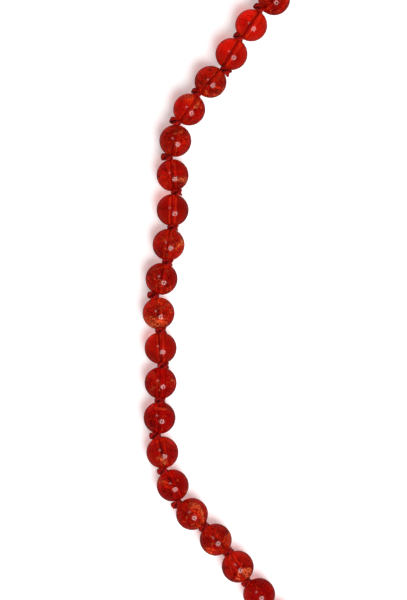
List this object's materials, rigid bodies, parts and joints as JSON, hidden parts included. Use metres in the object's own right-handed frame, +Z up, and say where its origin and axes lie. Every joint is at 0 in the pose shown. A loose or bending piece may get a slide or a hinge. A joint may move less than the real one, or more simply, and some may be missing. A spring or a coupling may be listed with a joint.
{
  "type": "prayer bead string",
  "caption": "Closed loop of round red crackled stone beads knotted on a dark red cord, with a larger three-hole guru bead and a silk tassel.",
  "frame": {"origin": "below the middle of the whole object's box, on the surface it lies on", "axes": "+Z up out of the surface, +Y along the loop away from the tassel, +X across the loop"},
  "size_m": [0.1026, 0.2736, 0.01],
  "materials": {
    "red_crackle_quartz": "polished clear red stone with inner crackle",
    "maroon_cord": "twisted multi-strand cord, matte",
    "tassel_silk": "silky thread with a soft sheen",
    "binding_thread": "tightly wound thread"
  },
  "bodies": {
    "left": {"cord_left": "maroon_cord"},
    "top": {"cord_top": "maroon_cord"},
    "bottom": {"cord_bottom": "maroon_cord"},
    "guru": {"guru_bead": "red_crackle_quartz"},
    "tassel": {"tassel_threads": "tassel_silk", "tassel_binding": "binding_thread"},
    "bead_01": {"bead_01": "red_crackle_quartz"},
    "bead_02": {"bead_02": "red_crackle_quartz"},
    "bead_03": {"bead_03": "red_crackle_quartz"},
    "bead_04": {"bead_04": "red_crackle_quartz"},
    "bead_05": {"bead_05": "red_crackle_quartz"},
    "bead_06": {"bead_06": "red_crackle_quartz"},
    "bead_07": {"bead_07": "red_crackle_quartz"},
    "bead_08": {"bead_08": "red_crackle_quartz"},
    "bead_09": {"bead_09": "red_crackle_quartz"},
    "bead_10": {"bead_10": "red_crackle_quartz"},
    "bead_11": {"bead_11": "red_crackle_quartz"},
    "bead_12": {"bead_12": "red_crackle_quartz"},
    "bead_13": {"bead_13": "red_crackle_quartz"},
    "bead_14": {"bead_14": "red_crackle_quartz"},
    "bead_15": {"bead_15": "red_crackle_quartz"},
    "bead_16": {"bead_16": "red_crackle_quartz"},
    "bead_17": {"bead_17": "red_crackle_quartz"},
    "bead_18": {"bead_18": "red_crackle_quartz"},
    "bead_19": {"bead_19": "red_crackle_quartz"},
    "bead_20": {"bead_20": "red_crackle_quartz"},
    "bead_21": {"bead_21": "red_crackle_quartz"},
    "bead_22": {"bead_22": "red_crackle_quartz"},
    "bead_23": {"bead_23": "red_crackle_quartz"},
    "bead_24": {"bead_24": "red_crackle_quartz"},
    "bead_25": {"bead_25": "red_crackle_quartz"},
    "bead_26": {"bead_26": "red_crackle_quartz"},
    "bead_27": {"bead_27": "red_crackle_quartz"},
    "bead_28": {"bead_28": "red_crackle_quartz"},
    "bead_29": {"bead_29": "red_crackle_quartz"},
    "bead_30": {"bead_30": "red_crackle_quartz"},
    "bead_31": {"bead_31": "red_crackle_quartz"},
    "bead_32": {"bead_32": "red_crackle_quartz"},
    "bead_33": {"bead_33": "red_crackle_quartz"},
    "bead_34": {"bead_34": "red_crackle_quartz"},
    "bead_35": {"bead_35": "red_crackle_quartz"},
    "bead_36": {"bead_36": "red_crackle_quartz"},
    "bead_37": {"bead_37": "red_crackle_quartz"},
    "bead_38": {"bead_38": "red_crackle_quartz"},
    "bead_39": {"bead_39": "red_crackle_quartz"},
    "bead_40": {"bead_40": "red_crackle_quartz"},
    "bead_41": {"bead_41": "red_crackle_quartz"},
    "bead_42": {"bead_42": "red_crackle_quartz"},
    "bead_43": {"bead_43": "red_crackle_quartz"},
    "bead_44": {"bead_44": "red_crackle_quartz"},
    "bead_45": {"bead_45": "red_crackle_quartz"},
    "bead_46": {"bead_46": "red_crackle_quartz"},
    "bead_47": {"bead_47": "red_crackle_quartz"},
    "bead_48": {"bead_48": "red_crackle_quartz"},
    "bead_49": {"bead_49": "red_crackle_quartz"},
    "bead_50": {"bead_50": "red_crackle_quartz"},
    "bead_51": {"bead_51": "red_crackle_quartz"},
    "bead_52": {"bead_52": "red_crackle_quartz"},
    "bead_53": {"bead_53": "red_crackle_quartz"},
    "bead_54": {"bead_54": "red_crackle_quartz"}
  },
  "joints": [
    {"name": "top_fold", "type": "hinge", "parent": "left", "child": "top", "pos_m": [-0.01523, 0.11535, 0.004], "axis": [0.6373, -0.7706, 0], "range_deg": [-20, 20]},
    {"name": "bottom_fold", "type": "hinge", "parent": "left", "child": "bottom", "pos_m": [-0.01934, -0.03926, 0.004], "axis": [-0.644, -0.765, 0], "range_deg": [-20, 20]},
    {"name": "guru_lift", "type": "hinge", "parent": "bottom", "child": "guru", "pos_m": [0.01273, -0.06135, 0.005], "axis": [-0.9983, 0.0591, 0], "range_deg": [0, 70]},
    {"name": "tassel_swing", "type": "hinge", "parent": "guru", "child": "tassel", "pos_m": [0.0125, -0.06534, 0.005], "axis": [0, 0, 1], "range_deg": [-35, 35]},
    {"name": "bead_01_spin", "type": "hinge", "parent": "bottom", "child": "bead_01", "pos_m": [0.00355, -0.05899, 0.00465], "axis": [-0.8806, 0.467, -0.0802], "continuous": true},
    {"name": "bead_02_spin", "type": "hinge", "parent": "bottom", "child": "bead_02", "pos_m": [-0.00375, -0.05431, 0.00415], "axis": [-0.7932, 0.608, -0.0345], "continuous": true},
    {"name": "bead_03_spin", "type": "hinge", "parent": "bottom", "child": "bead_03", "pos_m": [-0.01045, -0.04877, 0.004], "axis": [-0.7475, 0.6643, 0], "continuous": true},
    {"name": "bead_04_spin", "type": "hinge", "parent": "bottom", "child": "bead_04", "pos_m": [-0.01652, -0.04257, 0.004], "axis": [-0.6482, 0.7614, 0], "continuous": true},
    {"name": "bead_05_spin", "type": "hinge", "parent": "left", "child": "bead_05", "pos_m": [-0.02215, -0.03594, 0.004], "axis": [-0.6458, 0.7635, 0], "continuous": true},
    {"name": "bead_06_spin", "type": "hinge", "parent": "left", "child": "bead_06", "pos_m": [-0.02749, -0.02908, 0.004], "axis": [-0.5819, 0.8133, 0], "continuous": true},
    {"name": "bead_07_spin", "type": "hinge", "parent": "left", "child": "bead_07", "pos_m": [-0.03298, -0.02235, 0.004], "axis": [-0.6789, 0.7342, 0], "continuous": true},
    {"name": "bead_08_spin", "type": "hinge", "parent": "left", "child": "bead_08", "pos_m": [-0.03889, -0.01596, 0.004], "axis": [-0.6807, 0.7326, 0], "continuous": true},
    {"name": "bead_09_spin", "type": "hinge", "parent": "left", "child": "bead_09", "pos_m": [-0.04369, -0.00884, 0.004], "axis": [-0.4233, 0.906, 0], "continuous": true},
    {"name": "bead_10_spin", "type": "hinge", "parent": "left", "child": "bead_10", "pos_m": [-0.04627, -0.00061, 0.004], "axis": [-0.1681, 0.9858, 0], "continuous": true},
    {"name": "bead_11_spin", "type": "hinge", "parent": "left", "child": "bead_11", "pos_m": [-0.04699, 0.00803, 0.004], "axis": [0.0022, 1, 0], "continuous": true},
    {"name": "bead_12_spin", "type": "hinge", "parent": "left", "child": "bead_12", "pos_m": [-0.04673, 0.01672, 0.004], "axis": [0.0578, 0.9983, 0], "continuous": true},
    {"name": "bead_13_spin", "type": "hinge", "parent": "left", "child": "bead_13", "pos_m": [-0.04672, 0.02541, 0.004], "axis": [-0.056, 0.9984, 0], "continuous": true},
    {"name": "bead_14_spin", "type": "hinge", "parent": "left", "child": "bead_14", "pos_m": [-0.04722, 0.03409, 0.004], "axis": [-0.0597, 0.9982, 0], "continuous": true},
    {"name": "bead_15_spin", "type": "hinge", "parent": "left", "child": "bead_15", "pos_m": [-0.04649, 0.04267, 0.004], "axis": [0.2283, 0.9736, 0], "continuous": true},
    {"name": "bead_16_spin", "type": "hinge", "parent": "left", "child": "bead_16", "pos_m": [-0.04474, 0.05119, 0.004], "axis": [0.1746, 0.9846, 0], "continuous": true},
    {"name": "bead_17_spin", "type": "hinge", "parent": "left", "child": "bead_17", "pos_m": [-0.04372, 0.05982, 0.004], "axis": [0.0584, 0.9983, 0], "continuous": true},
    {"name": "bead_18_spin", "type": "hinge", "parent": "left", "child": "bead_18", "pos_m": [-0.04373, 0.0685, 0.004], "axis": [-0.0595, 0.9982, 0], "continuous": true},
    {"name": "bead_19_spin", "type": "hinge", "parent": "left", "child": "bead_19", "pos_m": [-0.04303, 0.07709, 0.004], "axis": [0.2192, 0.9757, 0], "continuous": true},
    {"name": "bead_20_spin", "type": "hinge", "parent": "left", "child": "bead_20", "pos_m": [-0.03958, 0.08489, 0.004], "axis": [0.5751, 0.8181, 0], "continuous": true},
    {"name": "bead_21_spin", "type": "hinge", "parent": "left", "child": "bead_21", "pos_m": [-0.03427, 0.09177, 0.004], "axis": [0.6454, 0.7638, 0], "continuous": true},
    {"name": "bead_22_spin", "type": "hinge", "parent": "left", "child": "bead_22", "pos_m": [-0.02905, 0.09871, 0.004], "axis": [0.5544, 0.8322, 0], "continuous": true},
    {"name": "bead_23_spin", "type": "hinge", "parent": "left", "child": "bead_23", "pos_m": [-0.02412, 0.10588, 0.004], "axis": [0.5779, 0.8161, 0], "continuous": true},
    {"name": "bead_24_spin", "type": "hinge", "parent": "left", "child": "bead_24", "pos_m": [-0.01842, 0.11239, 0.004], "axis": [0.7329, 0.6803, 0], "continuous": true},
    {"name": "bead_25_spin", "type": "hinge", "parent": "top", "child": "bead_25", "pos_m": [-0.01217, 0.11844, 0.004], "axis": [0.7046, 0.7096, 0], "continuous": true},
    {"name": "bead_26_spin", "type": "hinge", "parent": "top", "child": "bead_26", "pos_m": [-0.0058, 0.12435, 0.004], "axis": [0.7601, 0.6498, 0], "continuous": true},
    {"name": "bead_27_spin", "type": "hinge", "parent": "top", "child": "bead_27", "pos_m": [0.00147, 0.12899, 0.004], "axis": [0.9093, 0.4162, 0], "continuous": true},
    {"name": "bead_28_spin", "type": "hinge", "parent": "top", "child": "bead_28", "pos_m": [0.00965, 0.13181, 0.004], "axis": [0.9725, 0.2328, 0], "continuous": true},
    {"name": "bead_29_spin", "type": "hinge", "parent": "top", "child": "bead_29", "pos_m": [0.01823, 0.13281, 0.004], "axis": [1, -0.0035, 0], "continuous": true},
    {"name": "bead_30_spin", "type": "hinge", "parent": "top", "child": "bead_30", "pos_m": [0.02668, 0.13134, 0.004], "axis": [0.9426, -0.334, 0], "continuous": true},
    {"name": "bead_31_spin", "type": "hinge", "parent": "top", "child": "bead_31", "pos_m": [0.03426, 0.12727, 0.004], "axis": [0.7988, -0.6016, 0], "continuous": true},
    {"name": "bead_32_spin", "type": "hinge", "parent": "top", "child": "bead_32", "pos_m": [0.04026, 0.12112, 0.004], "axis": [0.5815, -0.8135, 0], "continuous": true},
    {"name": "bead_33_spin", "type": "hinge", "parent": "top", "child": "bead_33", "pos_m": [0.04416, 0.11345, 0.004], "axis": [0.3155, -0.9489, 0], "continuous": true},
    {"name": "bead_34_spin", "type": "hinge", "parent": "top", "child": "bead_34", "pos_m": [0.04617, 0.10502, 0.004], "axis": [0.1448, -0.9895, 0], "continuous": true},
    {"name": "bead_35_spin", "type": "hinge", "parent": "top", "child": "bead_35", "pos_m": [0.047, 0.09637, 0.004], "axis": [0.048, -0.9988, 0], "continuous": true},
    {"name": "bead_36_spin", "type": "hinge", "parent": "top", "child": "bead_36", "pos_m": [0.04725, 0.08768, 0.004], "axis": [0.009, -1, 0], "continuous": true},
    {"name": "bead_37_spin", "type": "hinge", "parent": "top", "child": "bead_37", "pos_m": [0.04726, 0.07898, 0.004], "axis": [-0.0073, -1, 0], "continuous": true},
    {"name": "bead_38_spin", "type": "hinge", "parent": "top", "child": "bead_38", "pos_m": [0.04723, 0.07028, 0.004], "axis": [-0.0002, -1, 0], "continuous": true},
    {"name": "bead_39_spin", "type": "hinge", "parent": "top", "child": "bead_39", "pos_m": [0.04723, 0.06158, 0.004], "axis": [0, -1, 0], "continuous": true},
    {"name": "bead_40_spin", "type": "hinge", "parent": "top", "child": "bead_40", "pos_m": [0.04723, 0.05288, 0.004], "axis": [0, -1, 0], "continuous": true},
    {"name": "bead_41_spin", "type": "hinge", "parent": "top", "child": "bead_41", "pos_m": [0.04723, 0.04418, 0.004], "axis": [0, -1, 0], "continuous": true},
    {"name": "bead_42_spin", "type": "hinge", "parent": "bottom", "child": "bead_42", "pos_m": [0.04723, 0.03548, 0.004], "axis": [0.0004, -1, 0], "continuous": true},
    {"name": "bead_43_spin", "type": "hinge", "parent": "bottom", "child": "bead_43", "pos_m": [0.04725, 0.02678, 0.004], "axis": [0.0036, -1, 0], "continuous": true},
    {"name": "bead_44_spin", "type": "hinge", "parent": "bottom", "child": "bead_44", "pos_m": [0.04725, 0.01808, 0.004], "axis": [-0.0035, -1, 0], "continuous": true},
    {"name": "bead_45_spin", "type": "hinge", "parent": "bottom", "child": "bead_45", "pos_m": [0.04717, 0.00938, 0.004], "axis": [-0.0142, -0.9999, 0], "continuous": true},
    {"name": "bead_46_spin", "type": "hinge", "parent": "bottom", "child": "bead_46", "pos_m": [0.04699, 0.00068, 0.004], "axis": [-0.0278, -0.9996, 0], "continuous": true},
    {"name": "bead_47_spin", "type": "hinge", "parent": "bottom", "child": "bead_47", "pos_m": [0.04663, -0.00801, 0.004], "axis": [-0.0538, -0.9985, 0], "continuous": true},
    {"name": "bead_48_spin", "type": "hinge", "parent": "bottom", "child": "bead_48", "pos_m": [0.04598, -0.01669, 0.004], "axis": [-0.0963, -0.9954, 0], "continuous": true},
    {"name": "bead_49_spin", "type": "hinge", "parent": "bottom", "child": "bead_49", "pos_m": [0.04472, -0.02528, 0.004], "axis": [-0.1933, -0.9811, 0], "continuous": true},
    {"name": "bead_50_spin", "type": "hinge", "parent": "bottom", "child": "bead_50", "pos_m": [0.0426, -0.03371, 0.004], "axis": [-0.2931, -0.9561, 0], "continuous": true},
    {"name": "bead_51_spin", "type": "hinge", "parent": "bottom", "child": "bead_51", "pos_m": [0.03956, -0.04185, 0.004], "axis": [-0.4065, -0.9137, 0], "continuous": true},
    {"name": "bead_52_spin", "type": "hinge", "parent": "bottom", "child": "bead_52", "pos_m": [0.03531, -0.0494, 0.004], "axis": [-0.5694, -0.8221, 0], "continuous": true},
    {"name": "bead_53_spin", "type": "hinge", "parent": "bottom", "child": "bead_53", "pos_m": [0.02953, -0.0558, 0.00415], "axis": [-0.7594, -0.6497, 0.0345], "continuous": true},
    {"name": "bead_54_spin", "type": "hinge", "parent": "bottom", "child": "bead_54", "pos_m": [0.02215, -0.06014, 0.00465], "axis": [-0.9342, -0.3477, 0.0802], "continuous": true}
  ]
}
